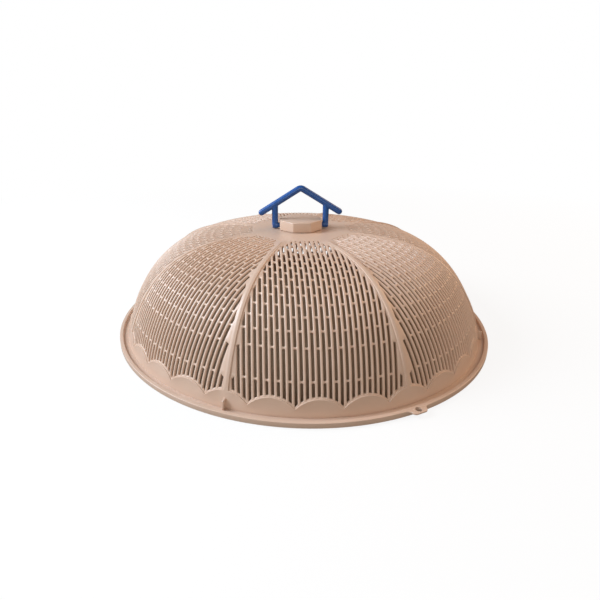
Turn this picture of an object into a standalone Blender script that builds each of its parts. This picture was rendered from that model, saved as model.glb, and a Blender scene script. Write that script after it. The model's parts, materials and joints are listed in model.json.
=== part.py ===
# Food cover: a slotted plastic dome that stands over a plate of food.
# A folding handle turns on pins in an eight-sided seat on the crown.
# Metres, +Z up. The origin is the centre of the rim's underside. The front
# grille panel faces -Y and the handle's hinge runs along X.
import math

import bmesh
import bpy
import numpy as np
from mathutils import Matrix, Vector, geometry

# Rim: a flat flange with an upturned lip, which leaves a gutter round the dome.
rim_radius = 0.165
lip_thickness = 0.0029
gutter_width = 0.0041
rim_height = 0.004
flange_thickness = 0.0018
lip_round = 0.0007
gutter_fillet = 0.001

# Dome: its outer surface is a superellipse turned about Z, and its foot stands
# inside the gutter.
foot_radius = rim_radius - lip_thickness - gutter_width
dome_height = 0.0841
side_power = 4.65
crown_power = 1.37
dome_wall = 0.002
skirt_line = 0.0055
ring_steps = 72

# Grille: panels between smooth ribs, sunk a little below them.
panel_count = 8
panel_sink = 0.0006
rib_width = 0.004
crown_radius = 0.042
panel_corner = 0.008
scallops_per_panel = 4
scallop_dip = 0.0088
scallop_top = 0.0153
scallop_steps = 6
arch_share = 1.37
side_steps = 7

# Slots stand in columns, bridged like bricks: odd columns use the odd rows.
slot_pitch = 0.0073
slot_width = 0.0039
slot_edge = 0.0012
slot_least = 0.0038
slot_chord = 0.032
slot_side_least = 0.0006
slot_narrowest = 0.0015
narrow_steps = 12
guess_count = 3
bridge = 0.0024
row_shares = (0.875, 0.800, 0.715, 0.625, 0.53, 0.43, 0.33)

# Stacking fins stand in the gutter under every other rib.
fin_count = 4
fin_thickness = 0.002
fin_height = 0.0087
fin_round_steps = 4

# Hanging tab on the lip, in line with the front panel's right rib.
tab_reach = 0.0053
tab_length = 0.0135
tab_root_length = 0.0185
tab_thickness = 0.0018
tab_hole_radius = 0.003
tab_hole_out = 0.0009
tab_corner = 0.003
tab_round_steps = 4
tab_drop = 0.0002
hole_steps = 16

# Handle seat: an eight-sided hollow cap, screwed on from inside the dome.
seat_radius = 0.02
seat_height = 0.0086
seat_wall = 0.002
seat_edge = 0.0006
pillar_radius = 0.0038
socket_wall = 0.0016
seat_sides = 8
pillar_steps = 20
notch_steps = 10

# Handle: a gable of round rod on two posts, with a pin at each post's foot.
rod_radius = 0.0028
post_half_gap = 0.0226
eave_half_width = 0.0345
eave_height = 0.0115
peak_height = 0.0321
peak_round = 0.004
pin_radius = 0.0022
pin_depth = 0.0032
fold_clearance = 0.0005
foot_edge = 0.0007
post_share = 0.98
rod_sides = 16
cap_steps = 4
peak_steps = 6

# Seat screw
screw_radius = 0.0015
screw_length = 0.0078
screw_head_radius = 0.0036
screw_head_height = 0.0022
cross_width = 0.0008
cross_depth = 0.0011
cross_share = 0.55
head_flat_share = 0.65
screw_steps = 14

# Clearances, and how finely shapes are worked out
gap = 0.0003
overrun = 0.001
weld = 0.00001
fill_tolerance = 0.000000001
sample_count = 400
edge_steps = 2
round_share = 0.5
smooth_angle = math.radians(35)


def new_object(name, mesh_data, material):
    piece = bpy.data.objects.new(name, mesh_data)
    bpy.context.scene.collection.objects.link(piece)
    piece.data.materials.append(material)
    return piece


def finish(name, colour, roughness, metallic):
    material = bpy.data.materials.new(name)
    material.use_nodes = True
    shader = material.node_tree.nodes["Principled BSDF"]
    shader.inputs["Base Color"].default_value = (*colour, 1.0)
    shader.inputs["Roughness"].default_value = roughness
    shader.inputs["Metallic"].default_value = metallic
    return material


# Outer profile of the dome, from the foot (level 0) to the apex (level 1).
def profile(level):
    turn = level * math.pi / 2
    radius = foot_radius * math.cos(turn) ** (2 / side_power)
    height = dome_height * math.sin(turn) ** (2 / crown_power)
    return radius, height


def level_at_radius(radius):
    return math.acos(min(1.0, (radius / foot_radius) ** (side_power / 2))) / (math.pi / 2)


def level_at_height(height):
    return math.asin(min(1.0, (height / dome_height) ** (crown_power / 2))) / (math.pi / 2)


def inward(level, depth):
    radius, height = profile(level)
    slope_out = side_power * (radius / foot_radius) ** (side_power - 1) / foot_radius
    slope_up = crown_power * (height / dome_height) ** (crown_power - 1) / dome_height
    steep = math.hypot(slope_out, slope_up)
    return radius - depth * slope_out / steep, height - depth * slope_up / steep


def around(angle, radius, height):
    return Vector((radius * math.sin(angle), -radius * math.cos(angle), height))


# Arc length from the apex along the profile, for laying the dome out flat.
samples = np.linspace(0.0, 1.0, sample_count)
sample_points = np.array([profile(level) for level in samples])
sample_steps = np.hypot(*np.diff(sample_points, axis=0).T)
from_apex = sample_steps.sum() - np.concatenate(([0.0], np.cumsum(sample_steps)))


def spread(level):
    return float(np.interp(level, samples, from_apex))


def level_at_spread(distance):
    return float(np.interp(-distance, -from_apex, samples))


def flat(angle, level):
    return Vector((spread(level) * math.sin(angle), -spread(level) * math.cos(angle)))


# Panel outline, as (angle from the panel's middle, level) pairs.
half_panel = math.pi / panel_count


def scallop_height(angle):
    place = angle / (2 * half_panel) * scallops_per_panel
    across = 2 * abs(place - round(place))
    bow = math.sqrt(arch_share ** 2 - 1)
    arch = (math.sqrt(arch_share ** 2 - across ** 2) - bow) / (arch_share - bow)
    return scallop_dip + (scallop_top - scallop_dip) * arch


def rib_angle(level, clear=0.0):
    radius = profile(level)[0]
    return half_panel - math.asin(min(1.0, (rib_width / 2 + clear) / radius))


def panel_outline():
    low = level_at_height(scallop_top)
    edge = rib_angle(low)
    steps = scallops_per_panel * scallop_steps
    points = []
    for step in range(steps + 1):
        # A point falls on each cusp, and the end points stop at the ribs.
        angle = max(-edge, min(edge, half_panel * (2 * step / steps - 1)))
        points.append((angle, level_at_height(scallop_height(angle))))
    crown = spread(level_at_radius(crown_radius))
    corner = crown + panel_corner
    side = []
    for step in range(1, side_steps + 1):
        level = level_at_spread(spread(low) + (corner - spread(low)) * step / side_steps)
        side.append((rib_angle(level), level))
    corner_angle = side[-1][0]
    turn_angle = corner_angle - panel_corner / corner
    # The middle of a rounded corner, as shares of the way across and up it.
    bow_share = math.cos(math.pi / 4)
    middle = (turn_angle + (corner_angle - turn_angle) * bow_share,
              level_at_spread(crown + panel_corner * (1 - bow_share)))
    top = [middle, (turn_angle, level_at_spread(crown)), (0.0, level_at_spread(crown))]
    points += side + top
    mirrored = [(-angle, level) for angle, level in reversed(side + top[:2])]
    return points + mirrored


# Slots of one panel, each as a loop of (angle, level) corners.
def slot_limits(across):
    # Lowest and highest level of a slot's edge that lies this far from the panel's middle.
    start = level_at_height(scallop_top)
    for guess in range(guess_count):
        angle = math.asin(across / profile(start)[0])
        start = level_at_height(scallop_height(angle) + slot_edge)
    along = (rib_width / 2 + slot_edge + abs(across) * math.cos(half_panel)) / math.sin(half_panel)
    # Past the straight part of the panel's top edge, the rounded corner draws the slot's end in.
    corner_start = crown_radius * math.sin(half_panel) - rib_width / 2 - panel_corner
    past = min(panel_corner, max(0.0, abs(across) - corner_start))
    drawn_in = panel_corner - math.sqrt(panel_corner ** 2 - past ** 2)
    top_radius = max(crown_radius + slot_edge + drawn_in, math.hypot(along, across))
    return start, level_at_radius(min(top_radius, foot_radius))


def slot_corner(across, level):
    return math.asin(across / profile(level)[0]), level


def slot_ends(across, lift, start, end):
    # Levels of a slot's lower and upper end at this distance from the panel's middle.
    low, high = slot_limits(across)
    return max(start, low + lift), min(end, high)


def slot_length(ends):
    return spread(ends[0]) - spread(ends[1])


def slot_side(across, ends, parts):
    # Points up one side of a slot, close enough together for the bars to follow the dome.
    low, high = spread(ends[0]), spread(ends[1])
    levels = [level_at_spread(low + (high - low) * part / parts) for part in range(parts + 1)]
    return [slot_corner(across, level) for level in levels]


def narrowed_sides(middle, lift, start, end):
    # Beside a rib a slot narrows from its outer side until that side is long enough to mould.
    sides = [middle - slot_width / 2, middle + slot_width / 2]
    outer = 0 if middle < 0 else 1
    for step in range(narrow_steps):
        if slot_length(slot_ends(sides[outer], lift, start, end)) >= slot_side_least:
            break
        sides[outer] -= math.copysign(slot_width / narrow_steps, middle)
    return sides


def panel_slots():
    foot = profile(level_at_height(scallop_top))[0]
    reach = foot * math.sin(half_panel) - rib_width / 2 - slot_edge - slot_width / 2
    columns = int(reach / slot_pitch)
    slots = []
    for column in range(-columns, columns + 1):
        middle = column * slot_pitch
        edges = [slot_limits(middle - slot_width / 2)[0], slot_limits(middle + slot_width / 2)[0]]
        lift = max(0.0, slot_limits(middle)[0] - sum(edges) / 2)
        cuts = [spread(level_at_radius(share * foot)) for share in row_shares[column % 2::2]]
        starts = [0.0] + [level_at_spread(cut - bridge / 2) for cut in cuts]
        ends = [level_at_spread(cut + bridge / 2) for cut in cuts] + [1.0]
        for start, end in zip(starts, ends):
            sides = narrowed_sides(middle, lift, start, end)
            spans = [slot_ends(side, lift, start, end) for side in sides]
            lengths = [slot_length(span) for span in spans]
            if max(lengths) < slot_least or min(lengths) < slot_side_least:
                continue
            if sides[1] - sides[0] < slot_narrowest:
                continue
            parts = math.ceil(max(lengths) / slot_chord)
            left, right = [slot_side(side, span, parts) for side, span in zip(sides, spans)]
            slots.append([left[0]] + right + left[:0:-1])
    return slots


def add_triangles(bm, loops, holes, place):
    # Fills the first loop, less the holes, and returns each loop's vertices.
    flat_points = []
    faces = []
    for loop in loops + holes:
        faces.append(list(range(len(flat_points), len(flat_points) + len(loop))))
        flat_points += [flat(*point) for point in loop]
    result = geometry.delaunay_2d_cdt(flat_points, [], faces, 1, fill_tolerance, True)
    triangles, origins, face_origins = result[2], result[3], result[5]
    source = loops + holes
    flat_source = [point for loop in source for point in loop]
    verts = []
    owner = {}
    for old in origins:
        verts.append(bm.verts.new(place(*flat_source[old[0]])))
        for item in old:
            owner[item] = verts[-1]
    for triangle, inside in zip(triangles, face_origins):
        if len(inside) == 1 and inside[0] < len(loops):
            bm.faces.new([verts[index] for index in triangle])
    rings = []
    first = 0
    for loop in source:
        rings.append([owner[first + index] for index in range(len(loop))])
        first += len(loop)
    return rings


def bridge_loops(bm, upper, lower):
    for index in range(len(upper)):
        after = (index + 1) % len(upper)
        bm.faces.new((upper[index], upper[after], lower[after], lower[index]))


def turned(loop, angle):
    return [(point[0] + angle, point[1]) for point in loop]


def dome_mesh():
    bm = bmesh.new()
    start = level_at_height(skirt_line)
    ring = [(2 * math.pi * step / ring_steps, start) for step in range(ring_steps)]
    hole_level = level_at_radius(screw_radius + gap)
    hole = [(2 * math.pi * step / screw_steps, hole_level) for step in range(screw_steps)]
    outlines = [turned(panel_outline(), 2 * half_panel * number) for number in range(panel_count)]
    slots = [[turned(slot, 2 * half_panel * number) for slot in panel_slots()]
             for number in range(panel_count)]

    def outer(angle, level):
        return around(angle, *profile(level))

    def sunk(angle, level):
        return around(angle, *inward(level, panel_sink))

    def inner(angle, level):
        return around(angle, *inward(level, dome_wall))

    frame = add_triangles(bm, [ring], outlines + [hole], outer)
    all_slots = [slot for group in slots for slot in group]
    lining = add_triangles(bm, [ring], all_slots + [hole], inner)
    bridge_loops(bm, frame[-1], lining[-1])
    first = 1
    for number in range(panel_count):
        panel = add_triangles(bm, [outlines[number]], slots[number], sunk)
        bridge_loops(bm, frame[1 + number], panel[0])
        for slot in panel[1:]:
            bridge_loops(bm, slot, lining[first])
            first += 1
    return bm, frame[0], lining[0]


def rim_section():
    # From the frame's lowest ring, round the gutter and lip, to the lining's lowest ring.
    wall_at_flange = profile(level_at_height(flange_thickness + gutter_fillet))[0]
    lip_inside = rim_radius - lip_thickness
    foot_inside = foot_radius - dome_wall
    return [(wall_at_flange, flange_thickness + gutter_fillet),
            (wall_at_flange + gutter_fillet, flange_thickness),
            (lip_inside, flange_thickness),
            (lip_inside, rim_height - lip_round),
            (lip_inside + lip_round, rim_height),
            (rim_radius - lip_round, rim_height),
            (rim_radius, rim_height - lip_round),
            (rim_radius, lip_round),
            (rim_radius - lip_round, 0.0),
            (foot_inside, 0.0)]


def dome_shell():
    bm, upper, lower = dome_mesh()
    rings = [upper]
    for radius, height in rim_section():
        rings.append([bm.verts.new(around(2 * math.pi * step / ring_steps, radius, height))
                      for step in range(ring_steps)])
    rings.append(lower)
    for above, below in zip(rings[:-1], rings[1:]):
        bridge_loops(bm, above, below)
    return bm


def prism(outline, low, high):
    bm = bmesh.new()
    base = [bm.verts.new((x, y, low)) for x, y in outline]
    face = bm.faces.new(base)
    lifted = bmesh.ops.extrude_face_region(bm, geom=[face])["geom"]
    moved = [item for item in lifted if isinstance(item, bmesh.types.BMVert)]
    bmesh.ops.translate(bm, verts=moved, vec=(0.0, 0.0, high - low))
    return bm


def cut_or_join(piece, shape, operation):
    # Applies an exact Boolean with another mesh, and keeps the result as the piece's mesh.
    tool = bpy.data.objects.new("tool", shape)
    bpy.context.scene.collection.objects.link(tool)
    modifier = piece.modifiers.new("shape", "BOOLEAN")
    modifier.operation = operation
    modifier.solver = "EXACT"
    modifier.object = tool
    result = bpy.data.meshes.new_from_object(piece.evaluated_get(bpy.context.evaluated_depsgraph_get()))
    piece.modifiers.clear()
    piece.data = result
    bpy.data.objects.remove(tool)


def mesh_piece(name, bm):
    bmesh.ops.recalc_face_normals(bm, faces=bm.faces)
    data = bpy.data.meshes.new(name)
    bm.to_mesh(data)
    bm.free()
    return data


def joined(name, parts):
    # One mesh that holds several separate bodies.
    bm = bmesh.new()
    for part in parts:
        data = mesh_piece(name, part)
        bm.from_mesh(data)
        bpy.data.meshes.remove(data)
    return mesh_piece(name, bm)


def drum(radius, low, high, steps, axis="Z"):
    bm = bmesh.new()
    bmesh.ops.create_cone(bm, cap_ends=True, segments=steps, radius1=radius, radius2=radius,
                          depth=high - low)
    bmesh.ops.translate(bm, verts=bm.verts, vec=(0.0, 0.0, (low + high) / 2))
    if axis == "X":
        bmesh.ops.rotate(bm, verts=bm.verts, matrix=Matrix.Rotation(math.pi / 2, 3, "Y"))
    return bm


def box(low, high):
    return prism([(low[0], low[1]), (high[0], low[1]), (high[0], high[1]), (low[0], high[1])],
                 low[2], high[2])


def turned_about_z(bm, angle):
    bmesh.ops.rotate(bm, verts=bm.verts, matrix=Matrix.Rotation(angle, 3, "Z"))
    return bm


def fin(angle):
    # An upright fin across the gutter, rounded off on the lip's side.
    inner_end = foot_radius - dome_wall / 2
    outer_end = rim_radius - lip_thickness / 2
    turn = outer_end - inner_end - dome_wall / 2
    outline = [(inner_end, flange_thickness / 2), (outer_end, flange_thickness / 2)]
    for step in range(fin_round_steps + 1):
        bend = math.pi / 2 * step / fin_round_steps
        outline.append((outer_end - turn + turn * math.cos(bend),
                        fin_height - turn + turn * math.sin(bend)))
    outline.append((profile(level_at_height(fin_height))[0] - dome_wall / 2, fin_height))
    bm = prism(outline, -fin_thickness / 2, fin_thickness / 2)
    bmesh.ops.rotate(bm, verts=bm.verts, matrix=Matrix.Rotation(math.pi / 2, 3, "X"))
    return turned_about_z(bm, angle - math.pi / 2)


def tab():
    root = rim_radius - lip_thickness / 2
    tip = rim_radius + tab_reach
    outline = [(-tab_root_length / 2, -root)]
    for step in range(tab_round_steps + 1):
        bend = math.pi / 2 * step / tab_round_steps
        outline.append((-tab_length / 2 + tab_corner * (1 - math.cos(bend)),
                        -tip + tab_corner * (1 - math.sin(bend))))
    outline += [(-x, y) for x, y in reversed(outline)]
    top = rim_height - tab_drop
    return turned_about_z(prism(outline, top - tab_thickness, top), half_panel)


def tab_hole():
    bm = drum(tab_hole_radius, -overrun, rim_height + overrun, hole_steps)
    bmesh.ops.translate(bm, verts=bm.verts, vec=(0.0, -rim_radius - tab_hole_out, 0.0))
    return turned_about_z(bm, half_panel)


# Heights of the handle seat and of the pins that turn under it.
crown_top = dome_height
seat_base = crown_top + gap
pivot_height = crown_top + fold_clearance + rod_radius
facet_reach = seat_radius * math.cos(math.pi / seat_sides)
pin_end = facet_reach - pin_depth
screw_tip = crown_top - dome_wall - gap + screw_length


def saddle(side):
    # A low block on the crown under each pin, inside the seat's notch.
    top = pivot_height - pin_radius - gap
    bm = box((pin_end, -pin_radius, crown_top - dome_wall / 2),
             (facet_reach - gap, pin_radius, top))
    return turned_about_z(bm, math.pi * side)


def build_dome(material):
    data = mesh_piece("dome", dome_shell())
    dome = new_object("dome", data, material)
    fins = [fin(-half_panel + 2 * math.pi * number / fin_count) for number in range(fin_count)]
    cut_or_join(dome, joined("added", fins + [tab(), saddle(0), saddle(1)]), "UNION")
    cut_or_join(dome, joined("hole", [tab_hole()]), "DIFFERENCE")
    return dome


def octagon(radius):
    turn = math.pi / seat_sides
    return [(radius * math.cos(turn + 2 * math.pi * step / seat_sides),
             radius * math.sin(turn + 2 * math.pi * step / seat_sides)) for step in range(seat_sides)]


def seat_shell():
    # The eight-sided cap, with its top edge bevelled.
    bm = prism(octagon(seat_radius), seat_base, seat_base + seat_height)
    top_edges = [edge for edge in bm.edges
                 if min(vert.co.z for vert in edge.verts) > seat_base + seat_height / 2]
    bmesh.ops.bevel(bm, geom=top_edges, offset=seat_edge, segments=edge_steps,
                    profile=round_share, affect="EDGES")
    return bm


def pin_notch(radius, inner_end, outer_end, top_steps):
    # A round-topped slot along X, open towards the crown.
    foot = crown_top - overrun - pivot_height
    outline = [(-radius, foot), (radius, foot)]
    for step in range(top_steps + 1):
        bend = math.pi * step / top_steps
        outline.append((radius * math.cos(bend), radius * math.sin(bend)))
    bm = prism(outline, inner_end, outer_end)
    x_to_y_to_z = Matrix(((0, 0, 1), (1, 0, 0), (0, 1, 0)))
    bmesh.ops.rotate(bm, verts=bm.verts, matrix=x_to_y_to_z)
    bmesh.ops.translate(bm, verts=bm.verts, vec=(0.0, 0.0, pivot_height))
    return bm


def build_seat(material):
    seat = new_object("handle_seat", mesh_piece("handle_seat", seat_shell()), material)
    ceiling = seat_base + seat_height - seat_wall
    hollow = prism(octagon(seat_radius - seat_wall), seat_base - overrun, ceiling)
    cut_or_join(seat, joined("hollow", [hollow]), "DIFFERENCE")
    block = pin_radius + gap + socket_wall
    low = (pin_end - gap - socket_wall, -block, seat_base)
    high = (facet_reach - seat_wall / 2, block, ceiling + seat_wall / 2)
    pillar = drum(pillar_radius, seat_base, ceiling + seat_wall / 2, pillar_steps)
    blocks = [turned_about_z(box(low, high), math.pi * side) for side in range(2)]
    cut_or_join(seat, joined("inside", blocks + [pillar]), "UNION")
    notches = []
    for side in range(2):
        notch = pin_notch(pin_radius + gap, pin_end - gap, facet_reach + overrun, notch_steps)
        notches.append(turned_about_z(notch, math.pi * side))
    bore = drum(screw_radius + gap, seat_base - overrun, screw_tip + gap, screw_steps)
    cut_or_join(seat, joined("notches", notches + [bore]), "DIFFERENCE")
    return seat


def rod(path, radius, sides, rounded_ends):
    # A round rod along a path in the XZ plane, with hemispherical or flat ends.
    points = [Vector((x, 0.0, z)) for x, z in path]
    aims = [(points[1] - points[0]).normalized()]
    for before, here, after in zip(points[:-2], points[1:-1], points[2:]):
        aims.append(((here - before).normalized() + (after - here).normalized()).normalized())
    aims.append((points[-1] - points[-2]).normalized())
    rings = [(point, aim, radius) for point, aim in zip(points, aims)]
    if rounded_ends:
        bends = [math.pi / 2 * step / cap_steps for step in range(1, cap_steps)]
        first = [(points[0] - aims[0] * radius * math.sin(bend), aims[0], radius * math.cos(bend))
                 for bend in reversed(bends)]
        last = [(points[-1] + aims[-1] * radius * math.sin(bend), aims[-1], radius * math.cos(bend))
                for bend in bends]
        rings = first + rings + last
    bm = bmesh.new()
    loops = []
    for centre, aim, size in rings:
        across = Vector((0.0, 1.0, 0.0))
        up = aim.cross(across)
        loops.append([bm.verts.new(centre + size * (across * math.cos(2 * math.pi * step / sides)
                                                    + up * math.sin(2 * math.pi * step / sides)))
                      for step in range(sides)])
    for above, below in zip(loops[:-1], loops[1:]):
        bridge_loops(bm, above, below)
    tips = [(loops[0], points[0] - aims[0] * radius), (loops[-1], points[-1] + aims[-1] * radius)]
    for loop, tip in tips:
        if rounded_ends:
            end = bm.verts.new(tip)
            for index in range(sides):
                bm.faces.new((loop[index], loop[(index + 1) % sides], end))
        else:
            bm.faces.new(loop)
    return bm


def gable_path():
    slope = math.atan2(peak_height - eave_height, eave_half_width)
    trim = peak_round * math.tan(slope / 2)
    centre_z = peak_height - trim * math.sin(slope) - peak_round * math.cos(slope)
    path = [(-eave_half_width, eave_height)]
    for step in range(peak_steps + 1):
        turn = slope * (2 * step / peak_steps - 1)
        path.append((peak_round * math.sin(turn), centre_z + peak_round * math.cos(turn)))
    path.append((eave_half_width, eave_height))
    return path


def foot_barrel(side):
    # The post's foot is a short barrel across the hinge line, its edges eased.
    bm = drum(rod_radius, -rod_radius, rod_radius, rod_sides, "X")
    rims = [edge for edge in bm.edges if abs(edge.verts[0].co.x - edge.verts[1].co.x) < gap]
    bmesh.ops.bevel(bm, geom=rims, offset=foot_edge, segments=edge_steps,
                    profile=round_share, affect="EDGES")
    bmesh.ops.translate(bm, verts=bm.verts, vec=(side * post_half_gap, 0.0, 0.0))
    return bm


def build_handle(material, hinge):
    # Modelled about the hinge line, then carried by the hinge empty.
    gable = rod(gable_path(), rod_radius, rod_sides, True)
    handle = new_object("handle", mesh_piece("handle", gable), material)
    post_top = peak_height - (peak_height - eave_height) * post_half_gap / eave_half_width
    for side in (-1, 1):
        post_path = [(side * post_half_gap, 0.0), (side * post_half_gap, post_top)]
        post = rod(post_path, rod_radius * post_share, rod_sides, False)
        low, high = sorted((side * pin_end, side * post_half_gap))
        pin = drum(pin_radius, low, high, rod_sides, "X")
        for part in (post, foot_barrel(side), pin):
            cut_or_join(handle, joined("part", [part]), "UNION")
    handle.parent = hinge
    return handle


def build_screw(material):
    # A pan-head screw, driven up from inside the dome.
    head_top = crown_top - dome_wall - gap
    section = [(0.0, head_top - screw_head_height),
               (screw_head_radius * head_flat_share, head_top - screw_head_height),
               (screw_head_radius, head_top - screw_head_height / 2),
               (screw_head_radius, head_top),
               (screw_radius, head_top),
               (screw_radius, screw_tip - screw_radius),
               (0.0, screw_tip)]
    bm = bmesh.new()
    verts = [bm.verts.new((radius, 0.0, height)) for radius, height in section]
    edges = [bm.edges.new(pair) for pair in zip(verts[:-1], verts[1:])]
    bmesh.ops.spin(bm, geom=verts + edges, cent=(0, 0, 0), axis=(0, 0, 1), angle=2 * math.pi,
                   steps=screw_steps, use_merge=True, use_duplicate=False)
    bmesh.ops.remove_doubles(bm, verts=bm.verts, dist=weld)
    screw = new_object("seat_screw", mesh_piece("seat_screw", bm), material)
    face = head_top - screw_head_height
    reach = screw_head_radius * cross_share
    low = (-reach, -cross_width / 2, face - overrun)
    high = (reach, cross_width / 2, face + cross_depth)
    for number in range(2):
        arm = turned_about_z(box(low, high), math.pi / 2 * number)
        cut_or_join(screw, joined("arm", [arm]), "DIFFERENCE")
    return screw


def main():
    for old in list(bpy.data.objects):
        bpy.data.objects.remove(old, do_unlink=True)
    dome_finish = finish("dome_beige_plastic", (0.62, 0.45, 0.33), 0.42, 0.0)
    seat_finish = finish("seat_beige_plastic", (0.62, 0.45, 0.33), 0.42, 0.0)
    handle_finish = finish("handle_blue_plastic", (0.03, 0.12, 0.45), 0.3, 0.0)
    screw_finish = finish("screw_zinc_plated_steel", (0.6, 0.6, 0.58), 0.35, 1.0)
    hinge = bpy.data.objects.new("handle_hinge", None)
    hinge.location = (0.0, 0.0, pivot_height)
    bpy.context.scene.collection.objects.link(hinge)
    pieces = [build_dome(dome_finish),
              build_seat(seat_finish),
              build_handle(handle_finish, hinge),
              build_screw(screw_finish)]
    for piece in pieces:
        piece.data.shade_smooth()
        piece.data.set_sharp_from_angle(angle=smooth_angle)


if __name__ == "__main__":
    main()
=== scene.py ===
import json
import math

import bmesh
import bpy
import numpy as np
from mathutils import Matrix, Vector, geometry


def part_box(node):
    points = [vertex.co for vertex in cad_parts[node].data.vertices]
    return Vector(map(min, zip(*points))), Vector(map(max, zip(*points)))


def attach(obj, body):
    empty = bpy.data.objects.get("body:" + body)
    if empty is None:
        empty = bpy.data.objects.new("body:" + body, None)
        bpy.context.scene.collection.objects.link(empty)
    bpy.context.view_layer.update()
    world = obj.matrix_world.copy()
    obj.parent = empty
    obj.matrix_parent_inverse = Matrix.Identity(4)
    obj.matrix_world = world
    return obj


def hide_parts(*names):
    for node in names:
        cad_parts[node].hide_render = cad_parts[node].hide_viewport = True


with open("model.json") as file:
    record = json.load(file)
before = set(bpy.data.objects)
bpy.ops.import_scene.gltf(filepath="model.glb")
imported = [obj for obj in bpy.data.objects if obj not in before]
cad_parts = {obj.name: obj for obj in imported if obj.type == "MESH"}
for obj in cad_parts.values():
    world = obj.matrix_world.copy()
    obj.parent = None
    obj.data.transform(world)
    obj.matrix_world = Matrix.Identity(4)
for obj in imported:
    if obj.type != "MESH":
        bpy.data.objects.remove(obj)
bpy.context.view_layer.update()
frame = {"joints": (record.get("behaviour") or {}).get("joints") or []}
print("frame loaded")

mm = 0.001
fullTurn = 2 * math.pi
weldMm = 0.003               # corners closer than this are one corner
pokeMm = 1.0                 # how far a tool reaches past what it cuts, and a saddle into the crown


# Small helpers that every piece uses

def linearColour(hexCode):
    # sRGB hex to the linear colour that a shader wants
    channels = [int(hexCode[place:place + 2], 16) / 255 for place in (1, 3, 5)]
    linear = [c / 12.92 if c <= 0.04045 else ((c + 0.055) / 1.055) ** 2.4 for c in channels]
    return (*linear, 1.0)


def addNode(tree, kind, values=None, links=None):
    # values sets a node's own settings or its sockets, links joins sockets to it
    node = tree.nodes.new(kind)
    for key, value in (values or {}).items():
        if isinstance(key, str) and hasattr(node, key):
            setattr(node, key, value)
        else:
            node.inputs[key].default_value = value
    for key, socket in (links or {}).items():
        tree.links.new(socket, node.inputs[key])
    return node


def newMaterial(name):
    material = bpy.data.materials.new(name)
    material.use_nodes = True
    tree = material.node_tree
    tree.nodes.clear()
    return material, tree


def newPiece(name, bm, material, smoothDegrees=40):
    mesh = bpy.data.meshes.new(name)
    bmesh.ops.recalc_face_normals(bm, faces=bm.faces)
    bm.to_mesh(mesh)
    bm.free()
    piece = bpy.data.objects.new(name, mesh)
    bpy.context.scene.collection.objects.link(piece)
    mesh.materials.append(material)
    smoothPiece(piece, smoothDegrees)
    return piece


def smoothPiece(piece, degrees):
    piece.data.shade_smooth()
    piece.data.set_sharp_from_angle(angle=math.radians(degrees))


def bakeModifiers(piece):
    # Keeps what the modifiers make as the piece's own mesh
    graph = bpy.context.evaluated_depsgraph_get()
    mesh = bpy.data.meshes.new_from_object(piece.evaluated_get(graph))
    piece.modifiers.clear()
    piece.data = mesh


def cutOrJoin(piece, tool, operation):
    modifier = piece.modifiers.new("shape", "BOOLEAN")
    modifier.operation = operation
    modifier.solver = "EXACT"
    modifier.object = tool
    bakeModifiers(piece)
    bpy.data.objects.remove(tool)


def roundEdges(piece, widthMm, steps=3, degrees=40):
    modifier = piece.modifiers.new("edge", "BEVEL")
    modifier.width = widthMm * mm
    modifier.segments = steps
    modifier.limit_method = "ANGLE"
    modifier.angle_limit = math.radians(degrees)
    bakeModifiers(piece)


def prism(outline, low, high):
    # Stands an outline in XY up from low to high, in millimetres
    bm = bmesh.new()
    face = bm.faces.new([bm.verts.new((x * mm, y * mm, low * mm)) for x, y in outline])
    lifted = bmesh.ops.extrude_face_region(bm, geom=[face])["geom"]
    moved = [item for item in lifted if isinstance(item, bmesh.types.BMVert)]
    bmesh.ops.translate(bm, verts=moved, vec=(0, 0, (high - low) * mm))
    return bm


def turned(bm, angle, axis="Z"):
    bmesh.ops.rotate(bm, verts=bm.verts, matrix=Matrix.Rotation(angle, 3, axis))
    return bm


def joinRings(bm, upper, lower):
    for index in range(len(upper)):
        after = (index + 1) % len(upper)
        bm.faces.new((upper[index], upper[after], lower[after], lower[index]))


def revolved(section, steps):
    # Turns a closed (radius, height) section in millimetres about Z
    bm = bmesh.new()
    rings = []
    for radius, height in section:
        angles = [fullTurn * step / steps for step in range(steps)]
        rings.append([bm.verts.new((radius * math.cos(a) * mm, radius * math.sin(a) * mm, height * mm))
                      for a in angles])
    for upper, lower in zip(rings, rings[1:] + rings[:1]):
        joinRings(bm, upper, lower)
    return bm


def arcPoints(centreX, centreY, radius, startDegrees, endDegrees, steps):
    points = []
    for step in range(steps + 1):
        bend = math.radians(startDegrees + (endDegrees - startDegrees) * step / steps)
        points.append((centreX + radius * math.cos(bend), centreY + radius * math.sin(bend)))
    return points


def circle(radius, corners):
    return arcPoints(0, 0, radius, 0, 360 - 360 / corners, corners - 1)


# Finishes

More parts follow.
